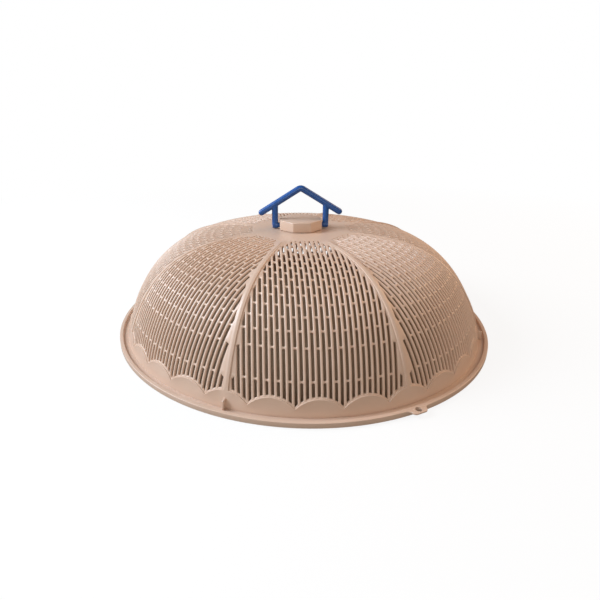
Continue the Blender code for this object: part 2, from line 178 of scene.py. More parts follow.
def beigePolypropylene(name):
    # Polypropylene, injection moulded against a finely textured tool: satin, slightly waxy,
    # with faint flow marks where the melt ran. IOR 1.49, not metallic.
    look = {"light": "#D4B9A4", "deep": "#CAAC96", "flowMm": 38.0, "flowDetail": 3.0, "flowBend": 0.6,
            "grainMm": 0.9, "grainDetail": 2.0, "grainDeepMm": 0.1, "bump": 0.05,
            "roughLow": 0.3, "roughHigh": 0.4, "ior": 1.49,
            "wax": 0.06, "waxMm": 1.2, "waxTint": (1.0, 0.6, 0.4)}
    material, tree = newMaterial(name)
    place = addNode(tree, "ShaderNodeTexCoord")
    flow = addNode(tree, "ShaderNodeTexNoise",
                   {"Scale": 1 / (look["flowMm"] * mm), "Detail": look["flowDetail"],
                    "Distortion": look["flowBend"]}, {"Vector": place.outputs["Object"]})
    # The tool's grain is about 0.1 mm, drawn coarser so that it shows
    grain = addNode(tree, "ShaderNodeTexNoise",
                    {"Scale": 1 / (look["grainMm"] * mm), "Detail": look["grainDetail"]},
                    {"Vector": place.outputs["Object"]})
    tint = addNode(tree, "ShaderNodeMix",
                   {"data_type": "RGBA", 6: linearColour(look["light"]), 7: linearColour(look["deep"])},
                   {0: flow.outputs["Fac"]})
    rough = addNode(tree, "ShaderNodeMapRange",
                    {"To Min": look["roughLow"], "To Max": look["roughHigh"]},
                    {"Value": flow.outputs["Fac"]})
    relief = addNode(tree, "ShaderNodeBump",
                     {"Strength": look["bump"], "Distance": look["grainDeepMm"] * mm},
                     {"Height": grain.outputs["Fac"]})
    plastic = addNode(tree, "ShaderNodeBsdfPrincipled",
                      {"IOR": look["ior"], "Subsurface Weight": look["wax"],
                       "Subsurface Scale": look["waxMm"] * mm, "Subsurface Radius": look["waxTint"]},
                      {"Base Color": tint.outputs[2], "Roughness": rough.outputs["Result"],
                       "Normal": relief.outputs["Normal"]})
    addNode(tree, "ShaderNodeOutputMaterial", {}, {"Surface": plastic.outputs["BSDF"]})
    return material


def blueAbs(name):
    # ABS, injection moulded against a polished tool: glossy, with slight ripples. IOR 1.54.
    look = {"light": "#1A5AA6", "deep": "#144684", "flowMm": 14.0, "flowDetail": 2.0,
            "rippleMm": 2.5, "rippleDetail": 1.0, "rippleDeepMm": 0.2, "bump": 0.04,
            "roughLow": 0.26, "roughHigh": 0.34, "ior": 1.54}
    material, tree = newMaterial(name)
    place = addNode(tree, "ShaderNodeTexCoord")
    flow = addNode(tree, "ShaderNodeTexNoise",
                   {"Scale": 1 / (look["flowMm"] * mm), "Detail": look["flowDetail"]},
                   {"Vector": place.outputs["Object"]})
    ripple = addNode(tree, "ShaderNodeTexNoise",
                     {"Scale": 1 / (look["rippleMm"] * mm), "Detail": look["rippleDetail"]},
                     {"Vector": place.outputs["Object"]})
    tint = addNode(tree, "ShaderNodeMix",
                   {"data_type": "RGBA", 6: linearColour(look["light"]), 7: linearColour(look["deep"])},
                   {0: flow.outputs["Fac"]})
    rough = addNode(tree, "ShaderNodeMapRange",
                    {"To Min": look["roughLow"], "To Max": look["roughHigh"]},
                    {"Value": flow.outputs["Fac"]})
    relief = addNode(tree, "ShaderNodeBump",
                     {"Strength": look["bump"], "Distance": look["rippleDeepMm"] * mm},
                     {"Height": ripple.outputs["Fac"]})
    plastic = addNode(tree, "ShaderNodeBsdfPrincipled", {"IOR": look["ior"]},
                      {"Base Color": tint.outputs[2], "Roughness": rough.outputs["Result"],
                       "Normal": relief.outputs["Normal"]})
    addNode(tree, "ShaderNodeOutputMaterial", {}, {"Surface": plastic.outputs["BSDF"]})
    return material


def zincPlatedSteel(name):
    # Steel screw, cold headed and zinc plated: a dull bluish metal with a mottled passivation.
    look = {"bright": "#C4C6C6", "dull": "#A3A5A2", "mottleMm": 1.4, "mottleDetail": 4.0,
            "roughLow": 0.3, "roughHigh": 0.46}
    material, tree = newMaterial(name)
    place = addNode(tree, "ShaderNodeTexCoord")
    mottle = addNode(tree, "ShaderNodeTexNoise",
                     {"Scale": 1 / (look["mottleMm"] * mm), "Detail": look["mottleDetail"]},
                     {"Vector": place.outputs["Object"]})
    tint = addNode(tree, "ShaderNodeMix",
                   {"data_type": "RGBA", 6: linearColour(look["bright"]), 7: linearColour(look["dull"])},
                   {0: mottle.outputs["Fac"]})
    rough = addNode(tree, "ShaderNodeMapRange",
                    {"To Min": look["roughLow"], "To Max": look["roughHigh"]},
                    {"Value": mottle.outputs["Fac"]})
    metal = addNode(tree, "ShaderNodeBsdfPrincipled", {"Metallic": 1.0},
                    {"Base Color": tint.outputs[2], "Roughness": rough.outputs["Result"]})
    addNode(tree, "ShaderNodeOutputMaterial", {}, {"Surface": metal.outputs["BSDF"]})
    return material


def seenDirectly(tree):
    # 1 where the camera looks, also through something clear, and 0 for light on its way to a surface
    path = addNode(tree, "ShaderNodeLightPath")
    seen = addNode(tree, "ShaderNodeMath", {"operation": "MAXIMUM"},
                   {0: path.outputs["Is Camera Ray"], 1: path.outputs["Is Transmission Ray"]})
    return seen.outputs[0]


def palePaperSweep(name):
    # Pale seamless paper, overexposed round the cover: it looks white and still takes a faint shadow.
    # Under the cover it isn't burnt out, and a round brown disc of painted shade lies there, seen through
    # the slots in place of the shade inside the cover.
    # The brown under the cover is painted shade: a disc that stands in for the shade inside the cover
    look = {"paper": "#F2F2F0", "paintedShadeDisc": "#86735F",
            "bounce": "#84817C",     # the paper's colour for the light that it throws back
            "glow": 1.0, "glowShare": 0.86,
            "paintedShadeDiscMm": 157.0,        # radius of the disc of painted shade
            "shadowMm": 260.0, "whiteMm": 900.0}
    material, tree = newMaterial(name)
    place = addNode(tree, "ShaderNodeTexCoord")
    reach = addNode(tree, "ShaderNodeVectorMath", {"operation": "LENGTH"}, {0: place.outputs["Object"]})
    outside = addNode(tree, "ShaderNodeMath", {"operation": "GREATER_THAN", 1: look["paintedShadeDiscMm"] * mm},
                      {0: reach.outputs["Value"]})
    glow = addNode(tree, "ShaderNodeEmission", {"Strength": look["glow"]})
    seen = seenDirectly(tree)
    # The paper throws less light back at the cover than it shows to the camera
    sheet = addNode(tree, "ShaderNodeMix",
                    {"data_type": "RGBA", 6: linearColour(look["bounce"]), 7: linearColour(look["paper"])},
                    {0: seen})
    # Under the cover the paper takes the brown of painted shade
    tint = addNode(tree, "ShaderNodeMix", {"data_type": "RGBA", 6: linearColour(look["paintedShadeDisc"])},
                   {0: outside.outputs[0], 7: sheet.outputs[2]})
    paper = addNode(tree, "ShaderNodeBsdfDiffuse", {}, {"Color": tint.outputs[2]})
    # Away from the cover the paper burns out fully, so that its far edge doesn't show
    burnt = addNode(tree, "ShaderNodeMapRange",
                    {"From Min": look["shadowMm"] * mm, "From Max": look["whiteMm"] * mm,
                     "To Min": look["glowShare"], "To Max": 1.0}, {"Value": reach.outputs["Value"]})
    share = addNode(tree, "ShaderNodeMath", {"operation": "MULTIPLY"},
                    {0: seen, 1: burnt.outputs["Result"]})
    shareOutside = addNode(tree, "ShaderNodeMath", {"operation": "MULTIPLY"},
                           {0: share.outputs[0], 1: outside.outputs[0]})
    mixed = addNode(tree, "ShaderNodeMixShader", {},
                    {0: shareOutside.outputs[0], 1: paper.outputs[0], 2: glow.outputs[0]})
    addNode(tree, "ShaderNodeOutputMaterial", {}, {"Surface": mixed.outputs[0]})
    return material


domeFinish = beigePolypropylene("beige_polypropylene_moulded")
handleFinish = blueAbs("blue_abs_moulded")
screwFinish = zincPlatedSteel("zinc_plated_steel")
print("finishes made")


# Dome: the shell's outer surface is a superellipse turned about Z

dome = {
    "footRadiusMm": 158.0,
    "heightMm": 84.1,
    "sidePower": 4.65,
    "crownPower": 1.37,
    "wallMm": 2.0,
    "footStartMm": 0.4,
    "panels": 8,
    "ribWidthMm": 3.8,
    "ribRiseMm": 0.5,
    "crownDiscMm": 42.0,
    "panelCornerMm": 8.0,
    "panelSinkMm": 0.6,
    "crownSinkMm": 0.03,
    "sinkFadeMm": 45.0,      # the panels sink in gently over this distance below the crown
    "crestInMm": 9.0,        # a rib's crest rises over this distance below the crown
    "crestOutMm": 7.0,       # and falls over this one at the skirt
    "crestPastMm": 2.0,      # ending this far past the scallops' tops
    "scallopsPerPanel": 4,
    "beadMm": 0.24,
    "beadLoopsMm": (1.2, 0.85, 0.55, 0.2, 0.0),  # distances of its lines from the panel's edge
    "beadFlankShare": 0.55,
    "beadFootShare": 0.5,
    "ribShoulderMm": 0.2,
    "shoulderFadeMm": 1.5,   # a bead turns into a rib's shoulder over this distance
    "shoulderShare": 0.6,
    "skirtRingsMm": (2.2, 4.0),
    "scallopDipMm": 7.7,
    "scallopTopMm": 14.2,
    "archShare": 1.37,
    "screwHoleMm": 1.8,
}

grille = {
    "sideColumns": 15,       # columns of slots on each side of a panel's middle one
    "pitchMm": 3.65,
    "slotMm": 1.93,
    "crownSlotShare": 0.72,  # width of a slot beside the crown, as a share of slotMm
    "narrowFadeMm": 45.0,    # the slots reach their full width this far from the crown
    "borderMm": 0.95,        # plain strip between a slot's end and the panel's edge
    "bridgeMm": 2.0,
    "endBulgeMm": 0.35,
    "barRoundMm": 0.5,
    "barMiddleShare": 0.28,  # a bar's rounding has a middle line at this share of its width
    "barEdgeMm": 0.22,
    "edgeLeastMm": 0.1,      # depth of a bar's edge at the crown
    "edgeMoreMm": 0.4,       # and what is added to it further out
    "bridgeDropMm": 0.3,
    "dropShare": 0.5,
    "reliefFadeMm": 60.0,    # bars and bridges reach their full rounding this far from the crown
    "sideStepMm": 4.5,
    "sliverMm": 0.3,         # a slot is left out if its shorter side is less than this
    "shortestMm": 1.6,       # or its mean length less than this
    "firstRowMm": 151.5,     # radius of the lowest row of bridges; rows go to odd and even columns in turn
    "secondRowMm": 141.9,
    "rowPitchMm": 6.3,
    "topPitchMm": 8.2,       # pitch of the rows inside topRowsMm
    "topRowsMm": 79.0,
}

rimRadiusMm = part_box("dome")[1].x / mm
halfPanel = math.pi / dome["panels"]

levels = np.linspace(1.0, 0.0, 3000)
profileRadius = dome["footRadiusMm"] * np.cos(levels * math.pi / 2) ** (2 / dome["sidePower"])
profileHeight = dome["heightMm"] * np.sin(levels * math.pi / 2) ** (2 / dome["crownPower"])
profileArc = np.concatenate(([0.0], np.cumsum(np.hypot(np.diff(profileRadius), np.diff(profileHeight)))))


def radiusAt(arc):
    return np.interp(arc, profileArc, profileRadius)


def heightAt(arc):
    return np.interp(arc, profileArc, profileHeight)


def arcAtRadius(radius):
    return np.interp(radius, profileRadius, profileArc)


def arcAtHeight(height):
    return np.interp(-height, -profileHeight, profileArc)


crownArc = float(arcAtRadius(dome["crownDiscMm"]))
scallopArc = float(arcAtHeight(dome["scallopTopMm"]))


def onDome(angle, arc, depth):
    # Points of the dome at an angle from the front and an arc length from the apex, sunk by a depth
    angle, arc, depth = np.broadcast_arrays(*(np.asarray(item, float) for item in (angle, arc, depth)))
    radius, height = radiusAt(arc), heightAt(arc)
    foot, sidePower = dome["footRadiusMm"], dome["sidePower"]
    top, crownPower = dome["heightMm"], dome["crownPower"]
    outward = sidePower * (radius / foot) ** (sidePower - 1) / foot
    upward = crownPower * (height / top) ** (crownPower - 1) / top
    steep = np.hypot(outward, upward)
    radius = radius - depth * outward / steep
    height = height - depth * upward / steep
    return np.stack([radius * np.sin(angle), -radius * np.cos(angle), height], -1)


def offsetLoop(loop, amount):
    # Grows a closed loop of (angle, arc) points by an amount measured on the surface
    angle, arc = loop[:, 0], loop[:, 1]
    radius = radiusAt(arc)
    across = (np.roll(angle, -1) - angle) * (radius + np.roll(radius, -1)) / 2
    along = np.roll(arc, -1) - arc
    length = np.maximum(np.hypot(across, along), 1e-9)  # never zero, for the division below
    side = np.sign(np.sum(angle * radius * along))
    normal = side * np.stack([along, -across], -1) / length[:, None]
    before = np.roll(normal, 1, 0)
    sharpest = 0.6           # holds the mitre short at a sharp corner
    mitre = (normal + before) / np.maximum(1 + np.sum(normal * before, -1), sharpest)[:, None]
    return np.stack([angle + amount * mitre[:, 0] / radius, arc + amount * mitre[:, 1]], -1)


def scallopHeight(angle):
    place = angle / (2 * halfPanel) * dome["scallopsPerPanel"]
    across = 2 * np.abs(place - np.round(place))
    bow = math.sqrt(dome["archShare"] ** 2 - 1)
    arch = (np.sqrt(dome["archShare"] ** 2 - across ** 2) - bow) / (dome["archShare"] - bow)
    return dome["scallopDipMm"] + (dome["scallopTopMm"] - dome["scallopDipMm"]) * arch


def ribAngle(arc):
    return halfPanel - np.arcsin(np.minimum(1.0, dome["ribWidthMm"] / 2 / radiusAt(arc)))


def sinkAt(arc):
    # The panels lie lower than the ribs, less and less towards the crown
    share = np.clip((arc - crownArc) / dome["sinkFadeMm"], 0, 1)
    most, least = dome["panelSinkMm"], dome["crownSinkMm"]
    return least + (most - least) * share * share * (3 - 2 * share)


def panelOutline(stepsPerScallop=12, sideSteps=36, cornerSteps=6, topSteps=12):
    edge = ribAngle(scallopArc)
    steps = dome["scallopsPerPanel"] * stepsPerScallop
    bottom = np.clip(np.linspace(-halfPanel, halfPanel, steps + 1), -edge, edge)
    points = [(angle, arcAtHeight(scallopHeight(angle))) for angle in bottom]
    cornerArc = crownArc + dome["panelCornerMm"]
    side = []
    for step in range(1, sideSteps + 1):
        arc = scallopArc + (cornerArc - scallopArc) * step / sideSteps
        side.append((float(ribAngle(arc)), arc))
    cornerAngle = side[-1][0]
    turnAngle = cornerAngle - dome["panelCornerMm"] / cornerArc
    for step in range(1, cornerSteps + 1):
        bend = math.pi / 2 * step / cornerSteps
        side.append((turnAngle + (cornerAngle - turnAngle) * math.cos(bend),
                     cornerArc - dome["panelCornerMm"] * math.sin(bend)))
    for step in range(1, topSteps // 2):
        side.append((turnAngle * (1 - 2 * step / topSteps), crownArc))
    mirrored = [(-angle, arc) for angle, arc in reversed(side)]
    return np.array(points + side + [(0.0, crownArc)] + mirrored)


def bottomLimit(across):
    arc = scallopArc
    for _ in range(4):       # each round brings the angle and the arc closer to each other
        angle = math.asin(across / float(radiusAt(arc)))
        arc = arcAtHeight(scallopHeight(angle) + grille["borderMm"])
    return float(arc)


def topLimit(across):
    ribSide = dome["ribWidthMm"] / 2 + grille["borderMm"]
    along = (ribSide + abs(across) * math.cos(halfPanel)) / math.sin(halfPanel)
    corner = dome["panelCornerMm"]
    cornerStart = dome["crownDiscMm"] * math.sin(halfPanel) - dome["ribWidthMm"] / 2 - corner
    past = min(corner, max(0.0, abs(across) - cornerStart))
    drawnIn = corner - math.sqrt(corner ** 2 - past ** 2)
    radius = max(dome["crownDiscMm"] + grille["borderMm"] + drawnIn, math.hypot(along, across))
    return float(arcAtRadius(min(radius, dome["footRadiusMm"])))


def bridgeRows():
    rows = [grille["firstRowMm"], grille["secondRowMm"]]
    while rows[-1] > dome["crownDiscMm"]:
        rows.append(rows[-1] - grille["rowPitchMm" if rows[-1] > grille["topRowsMm"] else "topPitchMm"])
    return rows


def slotLoop(lefts, bottoms, tops, bottomIsBridge, topIsBridge):
    # One slot as (angle, arc) points, with 1 for each point that lies on a bridge's lowered end
    rise = bottoms.mean() - tops.mean()
    steps = max(1, math.ceil(rise / grille["sideStepMm"]))
    xs = list(lefts)
    arcs = list(bottoms)
    low = [0.0] + [float(bottomIsBridge)] * (len(lefts) - 2) + [0.0]
    for step in range(1, steps):
        xs.append(lefts[-1])
        arcs.append(bottoms[-1] + (tops[-1] - bottoms[-1]) * step / steps)
        low.append(0.0)
    xs += list(lefts[::-1])
    arcs += list(tops[::-1])
    low += [0.0] + [float(topIsBridge)] * (len(lefts) - 2) + [0.0]
    for step in range(1, steps):
        xs.append(lefts[0])
        arcs.append(tops[0] + (bottoms[0] - tops[0]) * step / steps)
        low.append(0.0)
    arcs = np.array(arcs)
    return np.stack([np.arcsin(np.array(xs) / radiusAt(arcs)), arcs], -1), np.array(low)


def slotEnds(across, start, end):
    # The arcs of a slot's two ends at places across the panel, between two bridges or the panel's edge
    half = grille["bridgeMm"] / 2
    unit = np.linspace(-1.0, 1.0, len(across))
    bulge = grille["endBulgeMm"] * (1 - unit ** 2)
    lowest = np.array([bottomLimit(x) for x in across])
    highest = np.array([topLimit(x) for x in across])
    bottoms = lowest if start is None else np.minimum(lowest, start - half + bulge)
    tops = highest if end is None else np.maximum(highest, end + half - bulge)
    bottomIsBridge = start is not None and start - half < lowest.min()
    topIsBridge = end is not None and end + half > highest.max()
    if not topIsBridge:
        # A straight end, also where the panel's rounded corner bends away from it
        straight = np.linspace(tops[0], tops[-1], len(tops))
        tops = straight + (tops - straight).max()
    return bottoms, tops, bottomIsBridge, topIsBridge


def panelSlots():
    slots = []
    rows = bridgeRows()
    unit = np.linspace(-1.0, 1.0, 5)
    for column in range(-grille["sideColumns"], grille["sideColumns"] + 1):
        middle, half = column * grille["pitchMm"], grille["slotMm"] / 2
        cuts = [float(arcAtRadius(radius)) for radius in rows[(column + 1) % 2::2]]
        for start, end in zip([None] + cuts, cuts + [None]):
            bottoms, tops = slotEnds(middle + unit * half, start, end)[:2]
            reach = ((bottoms + tops).mean() / 2 - crownArc) / grille["narrowFadeMm"]
            share = grille["crownSlotShare"] + (1 - grille["crownSlotShare"]) * min(max(reach, 0.0), 1.0)
            across = middle + unit * half * share
            bottoms, tops, bottomIsBridge, topIsBridge = slotEnds(across, start, end)
            lengths = bottoms - tops
            if lengths.min() < grille["sliverMm"] or lengths.mean() < grille["shortestMm"]:
                continue
            slots.append(slotLoop(across, bottoms, tops, bottomIsBridge, topIsBridge))
    return slots


def fillTriangles(outer, holes, extras):
    # Triangles over an outer loop less its holes, on a flat chart of the dome
    loops = [outer] + holes
    flat = []
    faces = []
    for loop in loops:
        faces.append(list(range(len(flat), len(flat) + len(loop))))
        flat += [Vector((arc * math.sin(angle), -arc * math.cos(angle))) for angle, arc in loop]
    flat += [Vector((arc * math.sin(angle), -arc * math.cos(angle))) for angle, arc in extras]
    result = geometry.delaunay_2d_cdt(flat, [], faces, 1, 1e-7, True)  # 1e-7 mm is one spot
    corners, triangles, origins, faceOrigins = result[0], result[2], result[3], result[5]
    if any(not old for old in origins):
        crossings = [tuple(corners[index]) for index, old in enumerate(origins) if not old]
        raise ValueError("loops cross on the dome at %s" % crossings)
    return [[origins[index][0] for index in triangle]
            for triangle, inside in zip(triangles, faceOrigins) if list(inside) == [0]]


def makeWedge():
    # One eighth of the dome, from the middle of one rib to the middle of the next
    points, faces = [], []
    count = 0

    def addLoop(loop, depth):
        nonlocal count
        first = count
        points.append(onDome(loop[:, 0], loop[:, 1], depth))
        count += len(loop)
        return np.arange(first, count)

    def addStrip(upper, lower):
        for index in range(len(upper)):
            after = (index + 1) % len(upper)
            faces.append((upper[index], upper[after], lower[after], lower[index]))

    def addFill(outer, outerIds, holes, holeIds, extras, extraDepth, flip):
        ids = np.concatenate([outerIds] + holeIds + ([addLoop(extras, extraDepth)] if len(extras) else []))
        for triangle in fillTriangles(outer, holes, extras):
            chosen = [ids[index] for index in triangle]
            faces.append(tuple(reversed(chosen)) if flip else tuple(chosen))

    footArc = float(arcAtHeight(dome["footStartMm"]))
    holeArc = float(arcAtRadius(dome["screwHoleMm"]))
    ring = np.linspace(-halfPanel, halfPanel, 25)
    side = np.concatenate([np.linspace(footArc, scallopArc, 5),
                           np.linspace(scallopArc, crownArc, 46)[1:],
                           np.linspace(crownArc, holeArc, 14)[1:]])
    hole = np.linspace(halfPanel, -halfPanel, 5)
    edge = [(angle, footArc) for angle in ring]
    edge += [(halfPanel, arc) for arc in side[1:]]
    edge += [(angle, holeArc) for angle in hole[1:]]
    edge += [(-halfPanel, arc) for arc in side[::-1][1:-1]]
    edge = np.array(edge)

    # Ribs rise to a crest along the wedge's two sides
    ease = np.clip((edge[:, 1] - crownArc) / dome["crestInMm"], 0, 1)
    ease = ease * np.clip((scallopArc + dome["crestPastMm"] - edge[:, 1]) / dome["crestOutMm"], 0, 1)
    onSide = np.isclose(np.abs(edge[:, 0]), halfPanel)
    crest = -dome["ribRiseMm"] * onSide * ease * ease * (3 - 2 * ease)

    crownRings = [(angle, arc) for arc in np.linspace(crownArc, holeArc, 14)[1:-1]
                  for angle in np.linspace(-halfPanel, halfPanel, 3 + int(arc * halfPanel / 2))[1:-1]]
    skirtRings = [(angle, float(arcAtHeight(height))) for height in dome["skirtRingsMm"]
                  for angle in ring[1:-1]]

    # A thin bead runs along the scallops, turns into the ribs' shoulders and fades out at the crown
    outline = panelOutline()
    gap = (halfPanel - np.abs(outline[:, 0])) * radiusAt(outline[:, 1])
    onRib = np.clip((dome["ribWidthMm"] - gap) / dome["shoulderFadeMm"], 0, 1)
    height = np.clip((outline[:, 1] - crownArc) / dome["sinkFadeMm"], 0, 1)
    part = dome["shoulderShare"]
    shoulder = height * onRib * dome["ribShoulderMm"]
    raised = height * ((1 - onRib) * dome["beadMm"] + onRib * dome["ribShoulderMm"] * part)
    flank = shoulder + dome["beadFlankShare"] * (raised - part * shoulder)
    edgeIds = addLoop(edge, crest)
    beads = [offsetLoop(outline, amount) for amount in dome["beadLoopsMm"]]
    depths = [-shoulder, -flank, -raised, -dome["beadFootShare"] * raised, sinkAt(outline[:, 1])]
    beadIds = [addLoop(loop, depth) for loop, depth in zip(beads, depths)]
    outlineIds = beadIds[-1]
    addFill(edge, edgeIds, [beads[0]], [beadIds[0]], np.array(crownRings + skirtRings), 0.0, False)
    for upper, lower in zip(beadIds[:-1], beadIds[1:]):
        addStrip(upper, lower)

    tops, topIds, backs, backIds = [], [], [], []
    for slot, lowered in panelSlots():
        relief = np.clip((slot[:, 1] - crownArc) / grille["reliefFadeMm"], 0, 1)
        drop = grille["bridgeDropMm"] * lowered * relief
        rounded = offsetLoop(slot, grille["barRoundMm"])
        middle = offsetLoop(slot, grille["barRoundMm"] * grille["barMiddleShare"])
        sink = sinkAt(slot[:, 1])
        edgeDepth = sink + grille["edgeLeastMm"] + grille["edgeMoreMm"] * relief
        edgeDepth = edgeDepth + drop * grille["dropShare"]
        loops = [addLoop(rounded, sink + drop), addLoop(middle, sink + grille["barEdgeMm"] * relief + drop),
                 addLoop(slot, edgeDepth), addLoop(slot, dome["wallMm"])]
        for upper, lower in zip(loops[:-1], loops[1:]):
            addStrip(upper, lower)
        tops.append(rounded)
        topIds.append(loops[0])
        backs.append(slot)
        backIds.append(loops[-1])
    addFill(outline, outlineIds, tops, topIds, np.zeros((0, 2)), 0.0, False)

    inside = np.array(crownRings + skirtRings[:len(ring) - 2])
    insideIds = addLoop(edge, dome["wallMm"])
    addFill(edge, insideIds, backs, backIds, inside, dome["wallMm"], True)

    footCount = len(ring)
    holeFirst = footCount + len(side) - 2
    for first, size in ((0, footCount), (holeFirst, len(hole))):
        for index in range(first, first + size - 1):
            faces.append((edgeIds[index + 1], edgeIds[index], insideIds[index], insideIds[index + 1]))
    print("grille slots in a panel:", len(tops))
    return np.concatenate(points), faces


def makeDomeShell():
    wedge, faces = makeWedge()
    bm = bmesh.new()
    for number in range(dome["panels"]):
        turn = 2 * halfPanel * number
        cos, sin = math.cos(turn), math.sin(turn)
        xs = (wedge[:, 0] * cos - wedge[:, 1] * sin) * mm
        ys = (wedge[:, 0] * sin + wedge[:, 1] * cos) * mm
        verts = [bm.verts.new((x, y, z)) for x, y, z in zip(xs, ys, wedge[:, 2] * mm)]
        for face in faces:
            bm.faces.new([verts[index] for index in face])
    bmesh.ops.remove_doubles(bm, verts=bm.verts, dist=weldMm * mm)
    openEdges = sum(1 for edge in bm.edges if len(edge.link_faces) != 2)
    print("dome shell faces:", len(bm.faces), "open edges:", openEdges)
    return newPiece("dome_shell", bm, domeFinish, 48)


domeShell = makeDomeShell()
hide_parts("dome")
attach(domeShell, "cover")


# Rim: a flat flange with an upturned lip, four upright fins and the hanging tab

rim = {
    "innerMm": 155.9,
    "flangeMm": 1.8,
    "lipMm": 2.9,
    "heightMm": 4.0,
    "roundMm": 0.45,
    "underRoundMm": 0.5,
    "steps": 288,
    "fins": 4,
    "finMm": 1.5,
    "finHeightMm": 8.9,
    "finRoundMm": 0.9,
    "finGapMm": 2.0,         # between a fin and the lip
    "finRootMm": 1.0,        # how deep a fin stands in the dome's wall
    "edgeMm": 0.3,
    "tabReachMm": 4.1,
    "tabMm": 12.0,
    "tabRootMm": 20.0,
    "tabThickMm": 1.2,
    "tabDropMm": 0.2,
    "tabCornerMm": 3.0,
    "holeRadiusMm": 2.2,
    "holeOutMm": 0.9,        # from the rim's edge out to the middle of the tab's hole
}


def rimSection():
    outer, inner = rimRadiusMm, rimRadiusMm - rim["lipMm"]
    rounded, under, top = rim["roundMm"], rim["underRoundMm"], rim["heightMm"]
    section = [(rim["innerMm"], 0.0), (rim["innerMm"], rim["flangeMm"])]
    section += arcPoints(inner - rounded, rim["flangeMm"] + rounded, rounded, -90, 0, 4)
    section += arcPoints(inner + rounded, top - rounded, rounded, 180, 90, 5)
    section += arcPoints(outer - rounded, top - rounded, rounded, 90, 0, 5)
    section += arcPoints(outer - under, under, under, 0, -90, 4)
    return section


def makeFin(angle):
    inner = dome["footRadiusMm"] - rim["finRootMm"]
    outer = rimRadiusMm - rim["lipMm"] - rim["finGapMm"]
    turn = rim["finRoundMm"]
    top = rim["finHeightMm"]
    outline = [(inner, rim["flangeMm"] / 2), (outer, rim["flangeMm"] / 2)]
    outline += arcPoints(outer - turn, top - turn, turn, 0, 90, 10)
    outline.append((float(radiusAt(arcAtHeight(top))) - rim["finRootMm"], top))
    bm = prism(outline, -rim["finMm"] / 2, rim["finMm"] / 2)
    fin = newPiece("fin", turned(turned(bm, math.pi / 2, "X"), angle - math.pi / 2), domeFinish)
    roundEdges(fin, rim["edgeMm"])
    return fin


def makeTab():
    root = rimRadiusMm - rim["lipMm"] / 2
    tip = rimRadiusMm + rim["tabReachMm"]
    corner = rim["tabCornerMm"]
    half = rim["tabMm"] / 2
    outline = [(-rim["tabRootMm"] / 2, -root)]
    outline += arcPoints(-half + corner, -tip + corner, corner, 180, 270, 6)
    outline += [(-x, y) for x, y in reversed(outline)]
    top = rim["heightMm"] - rim["tabDropMm"]
    bm = turned(prism(outline, top - rim["tabThickMm"], top), halfPanel)
    tab = newPiece("tab", bm, domeFinish)
    roundEdges(tab, rim["edgeMm"])
    return tab


def makeRim():
    ring = newPiece("rim_ring", revolved(rimSection(), rim["steps"]), domeFinish)
    for number in range(rim["fins"]):
        cutOrJoin(ring, makeFin(-halfPanel + fullTurn * number / rim["fins"]), "UNION")
    cutOrJoin(ring, makeTab(), "UNION")
    centre = rimRadiusMm + rim["holeOutMm"]
    hole = [(x, y - centre) for x, y in circle(rim["holeRadiusMm"], 24)]
    bm = turned(prism(hole, -pokeMm, rim["heightMm"] + pokeMm), halfPanel)
    cutOrJoin(ring, newPiece("drill", bm, domeFinish), "DIFFERENCE")
    smoothPiece(ring, 40)
    return ring


rimRing = makeRim()
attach(rimRing, "cover")
print("rim made")


# Handle seat: an eight-sided cap on the crown, with notches for the handle's pins

seat = {
    "radiusMm": 20.0,
    "wallMm": 2.0,
    "edgeMm": 0.55,
    "pinClearMm": 2.5,
    "pinEndInMm": 3.2,       # from the cap's flat side in to the end of a pin
    "notchEndMm": 0.3,       # free room past the end of a pin
    "socketWallMm": 1.6,
    "socketGapMm": 0.1,      # between a socket and the crown
    "pillarMm": 3.8,
    "boreMm": 1.8,
    "boreRoofMm": 0.5,
    "saddleHalfMm": 2.2,
    "saddleEndMm": 0.3,
    "saddleEdgeMm": 0.2,
}

seatLow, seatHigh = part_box("handle_seat")
seatBaseMm, seatTopMm = seatLow.z / mm, seatHigh.z / mm
facetReachMm = seatHigh.x / mm
pivotMm = frame["joints"][0]["pos_m"][2] / mm
pinEndMm = facetReachMm - seat["pinEndInMm"]


def octagon(radius):
    bends = [math.pi / 8 + math.pi / 4 * step for step in range(8)]
    return [(radius * math.cos(bend), radius * math.sin(bend)) for bend in bends]


def makePinNotch(side):
    radius = seat["pinClearMm"]
    below = seatBaseMm - pokeMm - pivotMm
    outline = [(-radius, below), (radius, below)] + arcPoints(0, 0, radius, 0, 180, 14)
    bm = prism(outline, pinEndMm - seat["notchEndMm"], facetReachMm + pokeMm)
    # X to Y, Y to Z and Z to X, so that the outline stands across the hinge line
    bmesh.ops.rotate(bm, verts=bm.verts, matrix=Matrix(((0, 0, 1), (1, 0, 0), (0, 1, 0))))
    bmesh.ops.translate(bm, verts=bm.verts, vec=(0, 0, pivotMm * mm))
    return newPiece("notch", turned(bm, math.pi * side), domeFinish)


